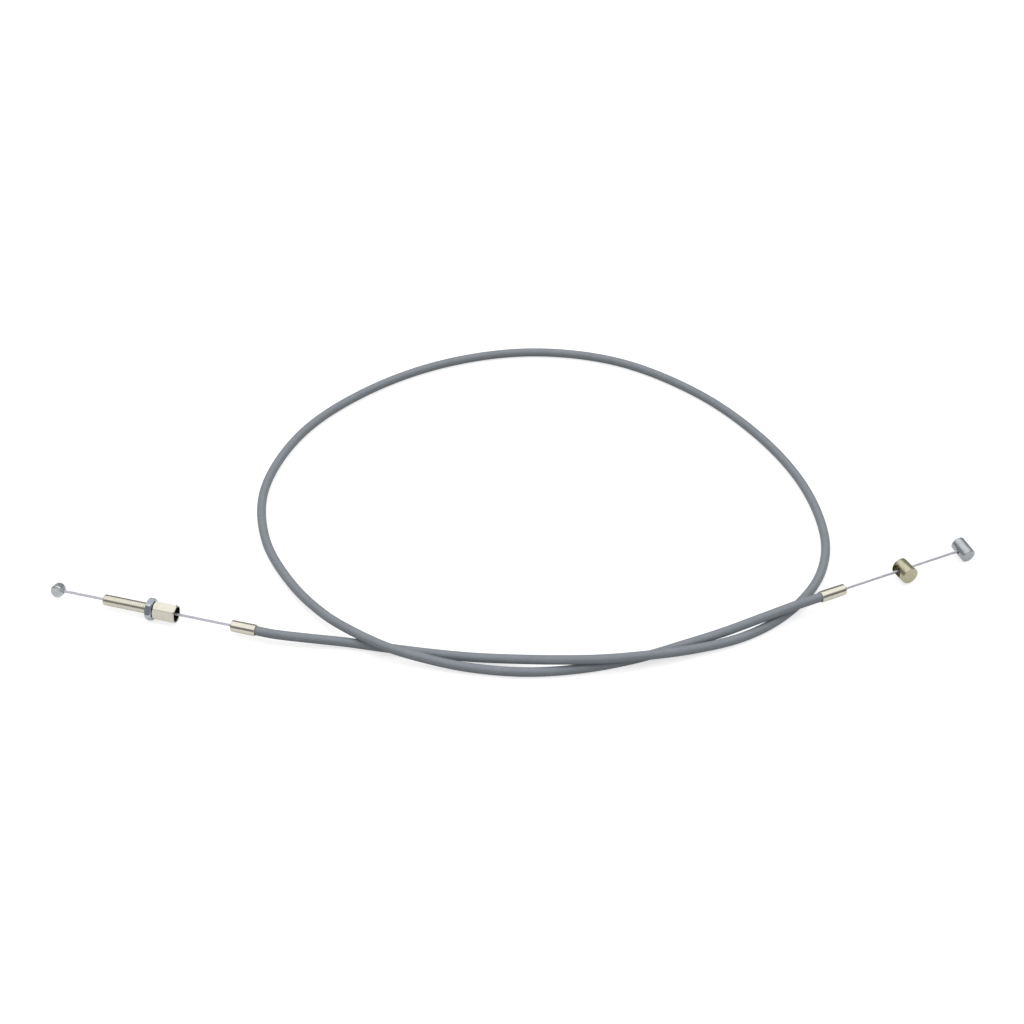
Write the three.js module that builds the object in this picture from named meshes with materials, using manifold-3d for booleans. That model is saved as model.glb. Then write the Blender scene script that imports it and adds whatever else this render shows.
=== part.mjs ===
// A sheathed shift cable, lying in one loose loop with its two ends crossed over each other.
// Millimetres, +Z up. The floor is z = 0, +X runs from the small nipple to the large one, and the
// origin is on the floor below the middle of the metal fittings.
//
// A grey plastic jacket over a wound steel conduit carries a stranded inner wire. Each end of the
// jacket sits in a drawn ferrule. On the left the wire runs through an adjusting screw, whose
// hexagonal cup takes the ferrule, to a small barrel nipple. On the right it runs through a pivot
// barrel, whose counterbore takes the other ferrule, to a large barrel nipple.

import * as THREE from "three";
import { mergeVertices } from "three/addons/utils/BufferGeometryUtils.js";
import Module from "manifold-3d";

// Gap between pieces that touch or slide on each other
const CLEARANCE = 0.3;

// Sheath and wire
const JACKET_DIAMETER = 5.0;
const JACKET_WALL = 0.4;
const CONDUIT_WALL = 0.6;
const WIRE_DIAMETER = 1.5;
const WIRE_PLAY = 0.45; // radial room that the wire has in the conduit
const HOLE_PLAY = 0.35; // radial room that the wire has in a fitting

// Travel of the inner wire each way from where it lies, and its least engagement in a ferrule
const WIRE_TRAVEL = 10;
const WIRE_ENGAGEMENT = 1.5;

// Ferrules, drawn cups crimped over the jacket's ends
const FERRULE_DIAMETER = 6.3;
const FERRULE_END_WALL = 1.0;
const FERRULE_CORNER = 0.35;
const FERRULE_LENGTH_LEFT = 13.6;
const FERRULE_LENGTH_RIGHT = 15.0;

// Adjusting screw: a hexagonal cup with a threaded stud
const CUP_ACROSS_FLATS = 9.2;
const CUP_LENGTH = 12.5;
const CUP_BORE = 8.1;
const CUP_DEPTH = 10.5;
const CUP_CHAMFER = 0.7;
const CUP_ROLL = 17; // degrees about the wire
const STUD_DIAMETER = 6.0;
const STUD_LENGTH = 29.4;
const STUD_CHAMFER = 0.7;

// Lock nut on the stud
const NUT_ACROSS_FLATS = 11.0;
const NUT_THICKNESS = 3.7;
const NUT_CHAMFER = 0.6;
const NUT_ROLL = 30; // degrees about the wire, which lays one flat on the floor

// Left nipple
const SMALL_NIPPLE_DIAMETER = 7.0;
const SMALL_NIPPLE_LENGTH = 5.8;
const SMALL_NIPPLE_ROLL = 16; // degrees about the wire
const SMALL_NIPPLE_CHAMFER = 0.5;

// Right nipple
const LARGE_NIPPLE_DIAMETER = 8.2;
const LARGE_NIPPLE_LENGTH = 11.4;
const LARGE_NIPPLE_ROLL = 9; // degrees about the wire
const LARGE_NIPPLE_CHAMFER = 0.6;

// Depth of the wire's hole in a nipple, as a share of the nipple's diameter
const NIPPLE_HOLE_SHARE = 0.7;

// Pivot barrel, which seats the right ferrule
const BARREL_DIAMETER = 9.7;
const BARREL_LENGTH = 10.4;
const BARREL_OFFSET = 1.3; // how much nearer its holes lie to its far end than its middle does
const BARREL_CHAMFER = 0.4;
const BARREL_SEAT_DEPTH = 5.5;

// Where each thing lies along the straight wire, measured from the ferrule's mouth
const CUP_STANDOFF = 31.2;
const SMALL_NIPPLE_REACH = 99.8;
const BARREL_REACH = 38.55;
const LARGE_NIPPLE_REACH = 78.0;

// The straight stretches at the two ends: the ferrule's mouth, the heading of the wire outwards
// from it and its slope, in degrees. The left one is as high as the lock nut lying on a flat.
const LEFT_MOUTH = [-150.1, -31.6, NUT_ACROSS_FLATS / 2];
const LEFT_HEADING = 163.2;
const LEFT_SLOPE = 0;
const RIGHT_MOUTH = [174.45, -4.04, 7.1];
const RIGHT_HEADING = 27.36;
const RIGHT_SLOPE = -1.43;

// Each end stays straight this far from its mouth, so that the wire can slide in it
const STRAIGHT_STRETCH = 2 * WIRE_TRAVEL + WIRE_ENGAGEMENT + 1.5;
const STRAIGHT_MIDDLE = STRAIGHT_STRETCH / 2;

// The sheath's route between the two straight ends: x, y and rise. A rise of 0 lies on the floor
// and a rise of 1 lies on a stretch that is on the floor.
const ROUTE = [
  [-109.8, -40.5, 0.4],
  [-90.3, -42, 0.13],
  [-67.8, -46, 0.02],
  [-45.8, -50, 0.01],
  [-23.8, -53.5, 0.08],
  [-1.3, -57, 0.42],
  [21.7, -60.5, 0.92],
  [43.7, -60.5, 1.03],
  [67.2, -56, 0.76],
  [91.2, -48.5, 0.28],
  [116.2, -38.5, 0.03],
  [135.7, -25.5, 0.01],
  [152.2, -7.5, 0],
  [164.2, 14.5, 0],
  [169.7, 43.5, 0],
  [163.2, 89.5, 0],
  [142.7, 136.5, 0],
  [107.7, 182, 0],
  [60.7, 215, 0],
  [9.7, 225, 0],
  [-40.3, 214.5, 0],
  [-86.3, 187, 0],
  [-124.3, 144, 0.01],
  [-142.8, 90, 0.01],
  [-138.8, 44, 0.02],
  [-121.8, 5.5, 0.15],
  [-101.8, -23.5, 0.66],
  [-84.8, -40, 1.03],
  [-67.3, -51, 0.95],
  [-48.3, -56.5, 0.45],
  [-24.8, -61.5, 0.08],
  [3.7, -64.5, 0.01],
  [32.2, -62, 0.01],
  [60.7, -54.5, 0.02],
  [87.2, -44, 0.15],
  [108.7, -36, 0.5],
  [129.2, -27.5, 0.95],
  [147.7, -18, 1.03],
];
const ROUTE_STEPS = 80;
const MIDDLE_WIRE_SKIPS = 2; // steps at each end of the route that the end wires slide in

// Faces round each kind of piece
const JACKET_SIDES = 10;
const CONDUIT_SIDES = 8;
const WIRE_SIDES = 8;
const TURNED_SIDES = 32;

// Worked out from the sizes above
const JACKET_RADIUS = JACKET_DIAMETER / 2;
const JACKET_BORE_RADIUS = JACKET_RADIUS - JACKET_WALL;
const CONDUIT_RADIUS = JACKET_BORE_RADIUS - CLEARANCE;
const WIRE_RADIUS = WIRE_DIAMETER / 2;
const CONDUIT_BORE_RADIUS = Math.min(WIRE_RADIUS + WIRE_PLAY, CONDUIT_RADIUS - CONDUIT_WALL);
const WIRE_HOLE_RADIUS = WIRE_RADIUS + HOLE_PLAY;
const CROSSING_RISE = JACKET_DIAMETER + CLEARANCE;
const FERRULE_RADIUS = FERRULE_DIAMETER / 2;
const FERRULE_BORE_RADIUS = JACKET_RADIUS + CLEARANCE;
const SHEATH_INSET = FERRULE_END_WALL + CLEARANCE;
const STUD_RADIUS = STUD_DIAMETER / 2;
const NUT_STANDOFF = CUP_STANDOFF + CUP_LENGTH + CLEARANCE;
const WIRE_INSET = WIRE_TRAVEL + WIRE_ENGAGEMENT;

const STEEL = { color: 0xb4b6bc, roughness: 0.4, metalness: 0.9 };
const NICKEL = { color: 0xc9c4b2, roughness: 0.3, metalness: 1.0 };
const ZINC = { color: 0xc6ccd2, roughness: 0.35, metalness: 1.0 };
const CAST_ZINC = { color: 0xa9adae, roughness: 0.5, metalness: 0.9 };
const PLASTIC = { color: 0x83898e, roughness: 0.5, metalness: 0.0 };

const wasm = await Module();
wasm.setup();

/** Turns a closed geometry into a solid that can be cut and joined. */
function solidOf(geometry) {
  const bare = geometry.clone();
  bare.deleteAttribute("normal");
  bare.deleteAttribute("uv");
  const merged = mergeVertices(bare, 1e-4);
  return new wasm.Manifold(
    new wasm.Mesh({
      numProp: 3,
      vertProperties: merged.attributes.position.array,
      triVerts: new Uint32Array(merged.index.array),
    }),
  );
}

/** Turns a solid back into a geometry. */
function geometryOf(solid) {
  const mesh = solid.getMesh();
  const geometry = new THREE.BufferGeometry();
  geometry.setAttribute("position", new THREE.BufferAttribute(mesh.vertProperties, 3));
  geometry.setIndex(new THREE.BufferAttribute(mesh.triVerts, 1));
  geometry.computeVertexNormals();
  return geometry;
}

/** A named mesh of one geometry and one finish. */
function piece(name, geometry, finish) {
  const mesh = new THREE.Mesh(geometry, new THREE.MeshStandardMaterial(finish));
  mesh.name = name;
  return mesh;
}

/** A turned shape about the X axis, from a profile of [x, radius] pairs that closes on itself. */
function turned(profile) {
  const points = [...profile, profile[0]].map(([x, radius]) => new THREE.Vector2(radius, x));
  return new THREE.LatheGeometry(points, TURNED_SIDES).rotateZ(-Math.PI / 2);
}

/** A round rod about the X axis from one x to another, with its edges chamfered by the same size. */
function rod(from, to, radius, chamfer = 0) {
  if (!chamfer) return turned([[from, 0], [from, radius], [to, radius], [to, 0]]);
  return turned([
    [from, 0],
    [from, radius - chamfer],
    [from + chamfer, radius],
    [to - chamfer, radius],
    [to, radius - chamfer],
    [to, 0],
  ]);
}

/** A hexagonal bar about the X axis, its corners turned down to a chamfer at both ends. */
function hexagonalBar(from, to, acrossFlats, chamfer, rollDegrees) {
  const cornerRadius = acrossFlats / Math.sqrt(3);
  const bar = new THREE.CylinderGeometry(cornerRadius, cornerRadius, to - from, 6)
    .rotateZ(-Math.PI / 2)
    .translate((from + to) / 2, 0, 0)
    .rotateX(THREE.MathUtils.degToRad(rollDegrees));
  const limit = rod(from, to, acrossFlats / 2 + chamfer, chamfer);
  return solidOf(bar).intersect(solidOf(limit));
}

/** A ring of the given radii, as a section for the sheath's tubes. */
function ringSection(radius, boreRadius, sides) {
  const outline = new THREE.Shape(polygon(radius, sides));
  if (boreRadius) outline.holes.push(new THREE.Path(polygon(boreRadius, sides)));
  return outline;
}

/** The corners of a regular polygon about the origin. */
function polygon(radius, sides) {
  return Array.from({ length: sides }, (_, i) => {
    const angle = (2 * Math.PI * i) / sides;
    return new THREE.Vector2(radius * Math.cos(angle), radius * Math.sin(angle));
  });
}

/** A stretch of a path between two shares of its length. */
class Stretch extends THREE.Curve {
  constructor(path, from, to) {
    super();
    Object.assign(this, { path, from, to });
  }

  getPoint(t, target = new THREE.Vector3()) {
    return this.path.getPointAt(this.from + (this.to - this.from) * t, target);
  }
}

/** One end of the cable: a group whose +X runs outwards along the straight wire. */
function endGroup(mouth, headingDegrees, slopeDegrees) {
  const group = new THREE.Group();
  group.position.set(...mouth);
  group.rotation.order = "ZYX";
  group.rotation.set(
    0,
    -THREE.MathUtils.degToRad(slopeDegrees),
    THREE.MathUtils.degToRad(headingDegrees),
  );
  group.updateMatrixWorld(true);
  return group;
}

/** The point on an end's straight axis at a distance inwards from its mouth. */
function inwards(group, distance) {
  return group.localToWorld(new THREE.Vector3(-distance, 0, 0));
}

/** The sheath's centre line, from inside the left ferrule to inside the right one. */
function sheathPath(left, right) {
  const depths = [SHEATH_INSET, STRAIGHT_MIDDLE, STRAIGHT_STRETCH];
  const middle = ROUTE.map(
    ([x, y, rise]) => new THREE.Vector3(x, y, JACKET_RADIUS + rise * CROSSING_RISE),
  );
  return new THREE.CatmullRomCurve3([
    ...depths.map((depth) => inwards(left, depth)),
    ...middle,
    ...depths.reverse().map((depth) => inwards(right, depth)),
  ]);
}

/** The jacket, the conduit in it and the part of the inner wire that never leaves them. */
function sheath(path) {
  const tube = { steps: ROUTE_STEPS, extrudePath: path };
  const jacket = ringSection(JACKET_RADIUS, JACKET_BORE_RADIUS, JACKET_SIDES);
  const conduit = ringSection(CONDUIT_RADIUS, CONDUIT_BORE_RADIUS, CONDUIT_SIDES);
  const share = MIDDLE_WIRE_SKIPS / ROUTE_STEPS;
  const core = {
    steps: ROUTE_STEPS - 2 * MIDDLE_WIRE_SKIPS,
    extrudePath: new Stretch(path, share, 1 - share),
  };
  return [
    piece("outer_jacket", new THREE.ExtrudeGeometry(jacket, tube), PLASTIC),
    piece("spiral_conduit", new THREE.ExtrudeGeometry(conduit, tube), STEEL),
    piece(
      "inner_wire_middle",
      new THREE.ExtrudeGeometry(ringSection(WIRE_RADIUS, 0, WIRE_SIDES), core),
      STEEL,
    ),
  ];
}

/** A drawn cup over the jacket's end, its closed end at the mouth with a hole for the wire. */
function ferrule(name, length) {
  const lip = (FERRULE_RADIUS - FERRULE_BORE_RADIUS) / 2;
  const shell = turned([
    [-FERRULE_END_WALL, WIRE_HOLE_RADIUS],
    [-FERRULE_END_WALL, FERRULE_BORE_RADIUS],
    [-length, FERRULE_BORE_RADIUS],
    [-length, FERRULE_RADIUS - lip],
    [-length + lip, FERRULE_RADIUS],
    [-FERRULE_CORNER, FERRULE_RADIUS],
    [0, FERRULE_RADIUS - FERRULE_CORNER],
    [0, WIRE_HOLE_RADIUS],
  ]);
  return piece(name, shell, NICKEL);
}

/** The straight inner wire of one end, from inside the ferrule to the bottom of the nipple's hole. */
function endWire(name, nippleReach, nippleDiameter) {
  const tip = nippleReach - nippleDiameter / 2 + nippleDiameter * NIPPLE_HOLE_SHARE - CLEARANCE;
  const length = tip + WIRE_INSET;
  const wire = new THREE.CylinderGeometry(WIRE_RADIUS, WIRE_RADIUS, length, WIRE_SIDES)
    .rotateZ(-Math.PI / 2)
    .translate((tip - WIRE_INSET) / 2, 0, 0);
  return piece(name, wire, STEEL);
}

/** A barrel nipple across the wire, with the blind hole that the wire is cast into. */
function nipple(name, reach, diameter, length, chamfer, rollDegrees) {
  const barrel = rod(-length / 2, length / 2, diameter / 2, chamfer)
    .rotateZ(Math.PI / 2)
    .rotateX(THREE.MathUtils.degToRad(rollDegrees));
  const hole = rod(-diameter, -diameter / 2 + diameter * NIPPLE_HOLE_SHARE, WIRE_HOLE_RADIUS);
  const solid = solidOf(barrel).subtract(solidOf(hole));
  return piece(name, geometryOf(solid).translate(reach, 0, 0), CAST_ZINC);
}

/** The screw whose cup faces the ferrule and whose stud points at the nipple. */
function adjustingScrew() {
  const cup = hexagonalBar(0, CUP_LENGTH, CUP_ACROSS_FLATS, CUP_CHAMFER, CUP_ROLL);
  const stud = rod(CUP_DEPTH, CUP_LENGTH + STUD_LENGTH, STUD_RADIUS, STUD_CHAMFER);
  const bore = rod(-CUP_LENGTH, CUP_DEPTH, CUP_BORE / 2);
  const wireHole = rod(-CUP_LENGTH, CUP_LENGTH + 2 * STUD_LENGTH, WIRE_HOLE_RADIUS);
  const solid = cup.add(solidOf(stud)).subtract(solidOf(bore)).subtract(solidOf(wireHole));
  return piece("adjusting_screw", geometryOf(solid).translate(CUP_STANDOFF, 0, 0), NICKEL);
}

/** The nut that locks the stud, seated against the cup. */
function lockNut() {
  const body = hexagonalBar(0, NUT_THICKNESS, NUT_ACROSS_FLATS, NUT_CHAMFER, NUT_ROLL);
  const bore = rod(-NUT_THICKNESS, 2 * NUT_THICKNESS, STUD_RADIUS + CLEARANCE);
  const solid = body.subtract(solidOf(bore));
  return piece("lock_nut", geometryOf(solid).translate(NUT_STANDOFF, 0, 0), ZINC);
}

/** The barrel that swivels in a lever and takes the right ferrule in its counterbore. */
function pivotBarrel() {
  const half = BARREL_LENGTH / 2;
  const radius = BARREL_DIAMETER / 2;
  const barrel = rod(-half, half, radius, BARREL_CHAMFER)
    .rotateZ(Math.PI / 2)
    .translate(0, -BARREL_OFFSET, 0);
  const seat = rod(-BARREL_DIAMETER, BARREL_SEAT_DEPTH - radius, FERRULE_RADIUS + CLEARANCE);
  const wireHole = rod(-BARREL_DIAMETER, BARREL_DIAMETER, WIRE_HOLE_RADIUS);
  const solid = solidOf(barrel).subtract(solidOf(seat)).subtract(solidOf(wireHole));
  return piece("pivot_barrel", geometryOf(solid).translate(BARREL_REACH, 0, 0), NICKEL);
}

/** Everything on the left straight stretch. */
function leftEnd(group) {
  group.add(
    ferrule("ferrule_left", FERRULE_LENGTH_LEFT),
    adjustingScrew(),
    lockNut(),
    endWire("inner_wire_left", SMALL_NIPPLE_REACH, SMALL_NIPPLE_DIAMETER),
    nipple(
      "nipple_left",
      SMALL_NIPPLE_REACH,
      SMALL_NIPPLE_DIAMETER,
      SMALL_NIPPLE_LENGTH,
      SMALL_NIPPLE_CHAMFER,
      SMALL_NIPPLE_ROLL,
    ),
  );
  return group;
}

/** Everything on the right straight stretch. */
function rightEnd(group) {
  group.add(
    ferrule("ferrule_right", FERRULE_LENGTH_RIGHT),
    pivotBarrel(),
    endWire("inner_wire_right", LARGE_NIPPLE_REACH, LARGE_NIPPLE_DIAMETER),
    nipple(
      "nipple_right",
      LARGE_NIPPLE_REACH,
      LARGE_NIPPLE_DIAMETER,
      LARGE_NIPPLE_LENGTH,
      LARGE_NIPPLE_CHAMFER,
      LARGE_NIPPLE_ROLL,
    ),
  );
  return group;
}

const left = leftEnd(endGroup(LEFT_MOUTH, LEFT_HEADING, LEFT_SLOPE));
const right = rightEnd(endGroup(RIGHT_MOUTH, RIGHT_HEADING, RIGHT_SLOPE));
const cable = new THREE.Group();
cable.name = "shift_cable";
cable.add(left, right, ...sheath(sheathPath(left, right)));

export default cable;
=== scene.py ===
"""Looks of a sheathed shift cable: its finishes, its fine shapes, its studio and its camera.

The cable lies in one loose loop on the floor z = 0. Sizes are given in millimetres, as a maker
would write them, and become metres where a mesh is made. Each end of the cable has a straight
stretch with its own frame: x runs outwards along the wire, y to its left seen from above, and z up.
"""

import logging
import math
from dataclasses import dataclass
from enum import Enum

import bmesh
import bpy
import numpy as np
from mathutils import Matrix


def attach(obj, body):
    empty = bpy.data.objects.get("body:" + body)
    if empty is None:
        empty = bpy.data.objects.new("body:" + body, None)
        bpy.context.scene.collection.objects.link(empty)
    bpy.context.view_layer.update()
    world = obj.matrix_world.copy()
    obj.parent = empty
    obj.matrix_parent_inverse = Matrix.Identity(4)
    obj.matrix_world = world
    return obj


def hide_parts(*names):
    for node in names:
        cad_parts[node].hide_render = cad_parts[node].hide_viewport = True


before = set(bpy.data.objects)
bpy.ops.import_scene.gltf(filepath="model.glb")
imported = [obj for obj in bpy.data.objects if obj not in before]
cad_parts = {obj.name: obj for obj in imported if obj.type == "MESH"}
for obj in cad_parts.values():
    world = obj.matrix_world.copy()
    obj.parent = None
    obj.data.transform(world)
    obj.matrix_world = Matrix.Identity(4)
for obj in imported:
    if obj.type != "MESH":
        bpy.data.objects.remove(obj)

LOG = logging.getLogger("shift_cable")
MM = 0.001
SPUN = "spun"  # attribute: a point's place in mm, x along the axis that its piece is turned about
HOLLOW_SHADE = "hollow"  # attribute of painted shade: 0 on a ridge, and up to 1 in a groove or in a bore, where shade falls
CRISPNESS = 90.0  # the power that a hexagon's corners are rounded with; a higher one is sharper
BORE_SHADE_BLACK = (38, 36, 32)  # the screen colour of the painted shade on metal deep in a bore
SLIVER = 0.002  # the longest edge in mm that is melted away after a cut
BARREL_SHARP = 28.0  # the least angle in degrees at which a cross barrel's edges stay sharp


class Body(Enum):
    """The rigid bodies that pieces ride on."""

    SHEATH = "sheath"
    RIGHT_WIRE = "right_wire_end"
    LEFT_WIRE = "left_wire_end"
    ADJUSTER = "adjuster"
    LOCK_NUT = "lock_nut"
    PIVOT_BARREL = "pivot_barrel"


class Slot(Enum):
    """The record's material slots."""

    JACKET = "jacket_plastic"
    CONDUIT = "conduit_steel"
    WIRE = "wire_steel"
    NICKEL = "nickel_plate"
    ZINC = "zinc_plate"
    CAST = "cast_zinc"


class Axis(Enum):
    """Which way the axis that a piece is turned about lies in its end's frame."""

    ALONG_WIRE = (0, 1, 2)
    ACROSS_WIRE = (1, 2, 0)


# ---- shapes as arrays


def bend(before: np.ndarray, corner: np.ndarray, after: np.ndarray, t: np.ndarray) -> np.ndarray:
    """The parabola round a corner: (1-t)^2 * before + 2t(1-t) * corner + t^2 * after."""
    return (1 - t) ** 2 * before + 2 * t * (1 - t) * corner + t**2 * after


def rounded(corners: list[tuple[float, float]], cut: float, steps: int) -> np.ndarray:
    """Rounds every corner of a closed profile from just before it to just after it.

    Args:
        corners: the profile's corners as pairs of x and radius, in mm.
        cut: how far before and after its corner each curve starts and ends, in mm.
        steps: the number of straight steps in each curve.

    Returns:
        The rounded profile, one row per point.
    """
    corner = np.asarray(corners, float)

    def beside(other: np.ndarray) -> np.ndarray:
        """The point on the way from each corner to its neighbour where the curve begins."""
        way = other - corner
        length = np.linalg.norm(way, axis=1, keepdims=True)
        return corner + way / length * np.minimum(cut, length * 0.45)

    before = beside(np.roll(corner, 1, axis=0))[:, None]
    after = beside(np.roll(corner, -1, axis=0))[:, None]
    t = np.linspace(0, 1, steps + 1)[None, :, None]
    return bend(before, corner[:, None], after, t).reshape(-1, 2)


def refined(profile: np.ndarray, step: float) -> np.ndarray:
    """Divides the long sides of a closed profile, so that no side is longer than a step.

    Args:
        profile: the profile's points.
        step: the longest side that is left, in mm.

    Returns:
        The profile with points added on its long sides.
    """
    following = np.roll(profile, -1, axis=0)
    parts = np.ceil(np.linalg.norm(following - profile, axis=1) / step - 1e-9).astype(int)
    parts = np.maximum(parts, 1)
    start = np.repeat(np.arange(len(profile)), parts)
    first = np.repeat(np.cumsum(parts) - parts, parts)
    share = ((np.arange(parts.sum()) - first) / np.repeat(parts, parts))[:, None]
    return profile[start] * (1 - share) + following[start] * share


def spline(points: np.ndarray, samples: int = 60) -> np.ndarray:
    """A centripetal Catmull-Rom curve through points.

    Between two points it is the cubic with each end's place and tangent. The tangents come from
    the four nearest points, with the square roots of their distances as the knot spacing. The
    curve is carried past its ends by mirroring the second and the last but one point.

    Args:
        points: the points that the curve passes through.
        samples: the number of samples from one point to the next.

    Returns:
        The curve's samples.
    """
    p = np.vstack([2 * points[:1] - points[1:2], points, 2 * points[-1:] - points[-2:-1]])
    gap = np.sqrt(np.linalg.norm(np.diff(p, axis=0), axis=1))[:, None]
    d0, d1, d2 = gap[:-2], gap[1:-1], gap[2:]
    p0, p1, p2, p3 = p[:-3], p[1:-2], p[2:-1], p[3:]
    m1 = ((p1 - p0) / d0 - (p2 - p0) / (d0 + d1) + (p2 - p1) / d1) * d1
    m2 = ((p2 - p1) / d1 - (p3 - p1) / (d1 + d2) + (p3 - p2) / d2) * d1
    s = np.linspace(0, 1, samples, endpoint=False)[None, :, None]
    a, b, m, n = p1[:, None], p2[:, None], m1[:, None], m2[:, None]
    curve = a + m * s + (3 * (b - a) - 2 * m - n) * s**2 + (2 * (a - b) + m + n) * s**3
    return np.vstack([curve.reshape(-1, 3), points[-1:]])


def evenly(curve: np.ndarray, count: int) -> tuple[np.ndarray, np.ndarray]:
    """Points at equal distances along a curve.

    Args:
        curve: the curve's samples.
        count: the number of points wanted.

    Returns:
        The points, and how far along the curve each lies.
    """
    far = np.concatenate([[0], np.cumsum(np.linalg.norm(np.diff(curve, axis=0), axis=1))])
    along = np.linspace(0, far[-1], count)
    return np.stack([np.interp(along, far, curve[:, k]) for k in range(3)], axis=1), along


def around(columns: int, start: float = 0.0) -> np.ndarray:
    """Equal angles round a circle from a start, in radians."""
    return start + np.arange(columns) * 2 * math.pi / columns


def hexagon(angle: np.ndarray, across_flats: float, roll: float) -> np.ndarray:
    """The radius of a hexagon with slightly rounded corners.

    It is half the width across flats divided by the high-power mean of the cosines of the
    angles from the six flats.

    Args:
        angle: the angles, in radians.
        across_flats: the width across flats.
        roll: the angle of one flat, in degrees.

    Returns:
        The radius at each angle.
    """
    flats = np.radians(roll + 60 * np.arange(6))
    nearness = np.clip(np.cos(angle[..., None] - flats), 0, 1) ** CRISPNESS
    return across_flats / 2 / nearness.sum(axis=-1) ** (1 / CRISPNESS)


def about_wire(x: np.ndarray, radius: np.ndarray, angle: np.ndarray) -> np.ndarray:
    """The grid of points at x along the wire, and at a radius and an angle about it."""
    x, radius, angle = np.broadcast_arrays(x, radius, angle)
    return np.stack([x, radius * np.cos(angle), radius * np.sin(angle)], axis=-1)


def thread_depth(x: np.ndarray, angle: np.ndarray, pitch: float) -> np.ndarray:
    """How deep a right-hand thread is cut, as a share of its full depth.

    The share is a triangle wave of x / pitch - angle / turn, of which only the top third is
    kept, so that the crests are wide and flat.

    Args:
        x: the place along the screw.
        angle: the angle round it, in radians.
        pitch: the thread's pitch.

    Returns:
        0 on the crests and 1 at the roots.
    """
    turn = x / pitch - angle / (2 * math.pi)
    wave = np.abs((turn % 1.0) * 2 - 1)
    return np.clip(wave * 3 - 2, 0, 1)


# ---- meshes


@dataclass(frozen=True)
class Place:
    """The frame of one end's straight stretch.

    Attributes:
        mouth: the middle of the ferrule's mouth in the row frame, in mm.
        heading: the wire's heading outwards, in degrees from +X.
        slope: the wire's slope upwards as it goes out, in degrees.
    """

    mouth: tuple[float, float, float]
    heading: float
    slope: float

    def basis(self) -> np.ndarray:
        """The end's three directions in the row frame, one per row."""
        yaw, pitch = math.radians(self.heading), math.radians(self.slope)
        level = np.array([math.cos(yaw), math.sin(yaw), 0.0])
        left = np.array([-math.sin(yaw), math.cos(yaw), 0.0])
        out = math.cos(pitch) * level + np.array([0.0, 0.0, math.sin(pitch)])
        return np.stack([out, left, np.cross(out, left)])

    def row(self, local: np.ndarray) -> np.ndarray:
        """Points of the end's frame in the row frame, both in mm."""
        return np.asarray(self.mouth) + np.asarray(local, float) @ self.basis()


def new_object(name: str, vertices: np.ndarray, faces: list, sharp: float) -> bpy.types.Object:
    """Makes an object at the origin from points in mm of the row frame.

    Args:
        name: the object's name.
        vertices: its points, in mm.
        faces: the indices of each face's corners, facing out.
        sharp: the least angle between faces whose edge stays sharp, in degrees.

    Returns:
        The object, linked to the scene.
    """
    mesh = bpy.data.meshes.new(name)
    mesh.from_pydata((vertices * MM).tolist(), [], faces)
    mesh.validate()
    mesh.shade_smooth()
    mesh.set_sharp_from_angle(angle=math.radians(sharp))
    made = bpy.data.objects.new(name, mesh)
    bpy.context.scene.collection.objects.link(made)
    return made


def outward(vertices: np.ndarray, quads: np.ndarray) -> np.ndarray:
    """Turns all faces round if they enclose a negative volume.

    The volume is the sum over the faces of a corner's dot product with the cross product of
    the face's diagonals, which has the sign of the solid's own volume.

    Args:
        vertices: the points.
        quads: the corners of each face, four to a row.

    Returns:
        The corners of the faces, facing out.
    """
    corner = vertices[quads] - vertices.mean(axis=0)
    normal = np.cross(corner[:, 2] - corner[:, 0], corner[:, 3] - corner[:, 1])
    return quads if (corner.mean(axis=1) * normal).sum() > 0 else quads[:, ::-1]


def ring_faces(rows: int, columns: int, wrapped: bool) -> np.ndarray:
    """The faces of a grid whose columns go round, and whose rows do too if it is wrapped."""
    index = np.arange(rows * columns).reshape(rows, columns)
    index = np.hstack([index, index[:, :1]])
    if wrapped:
        index = np.vstack([index, index[:1]])
    corners = [index[:-1, :-1], index[:-1, 1:], index[1:, 1:], index[1:, :-1]]
    return np.stack(corners, axis=-1).reshape(-1, 4)


def ring_solid(name: str, points: np.ndarray, sharp: float = 40.0) -> bpy.types.Object:
    """Makes a solid ring from a grid that closes on itself both ways.

    Args:
        name: the object's name.
        points: the grid, rows by columns by three, in mm of the row frame.
        sharp: the least angle between faces whose edge stays sharp, in degrees.

    Returns:
        The object.
    """
    vertices = points.reshape(-1, 3)
    quads = outward(vertices, ring_faces(points.shape[0], points.shape[1], True))
    return new_object(name, vertices, quads.tolist(), sharp)


def capped_solid(name: str, points: np.ndarray, sharp: float = 40.0) -> bpy.types.Object:
    """Makes a solid rod from a grid whose columns go round, with a fan at each end.

    Args:
        name: the object's name.
        points: the grid, rows by columns by three, in mm of the row frame.
        sharp: the least angle between faces whose edge stays sharp, in degrees.

    Returns:
        The object.
    """
    rows, columns = points.shape[:2]
    vertices = np.vstack([points.reshape(-1, 3), points[0].mean(axis=0), points[-1].mean(axis=0)])
    plain = ring_faces(rows, columns, False)
    quads = outward(vertices, plain)
    count = rows * columns
    first = np.arange(columns)
    ends = []
    for pole, base in ((count, 0), (count + 1, count - columns)):
        ring = base + first
        following = base + (first + 1) % columns
        pair = (following, ring) if (base == 0) == (quads is plain) else (ring, following)
        ends += np.stack([*pair, np.full(columns, pole)], axis=1).tolist()
    return new_object(name, vertices, quads.tolist() + ends, sharp)


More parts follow.
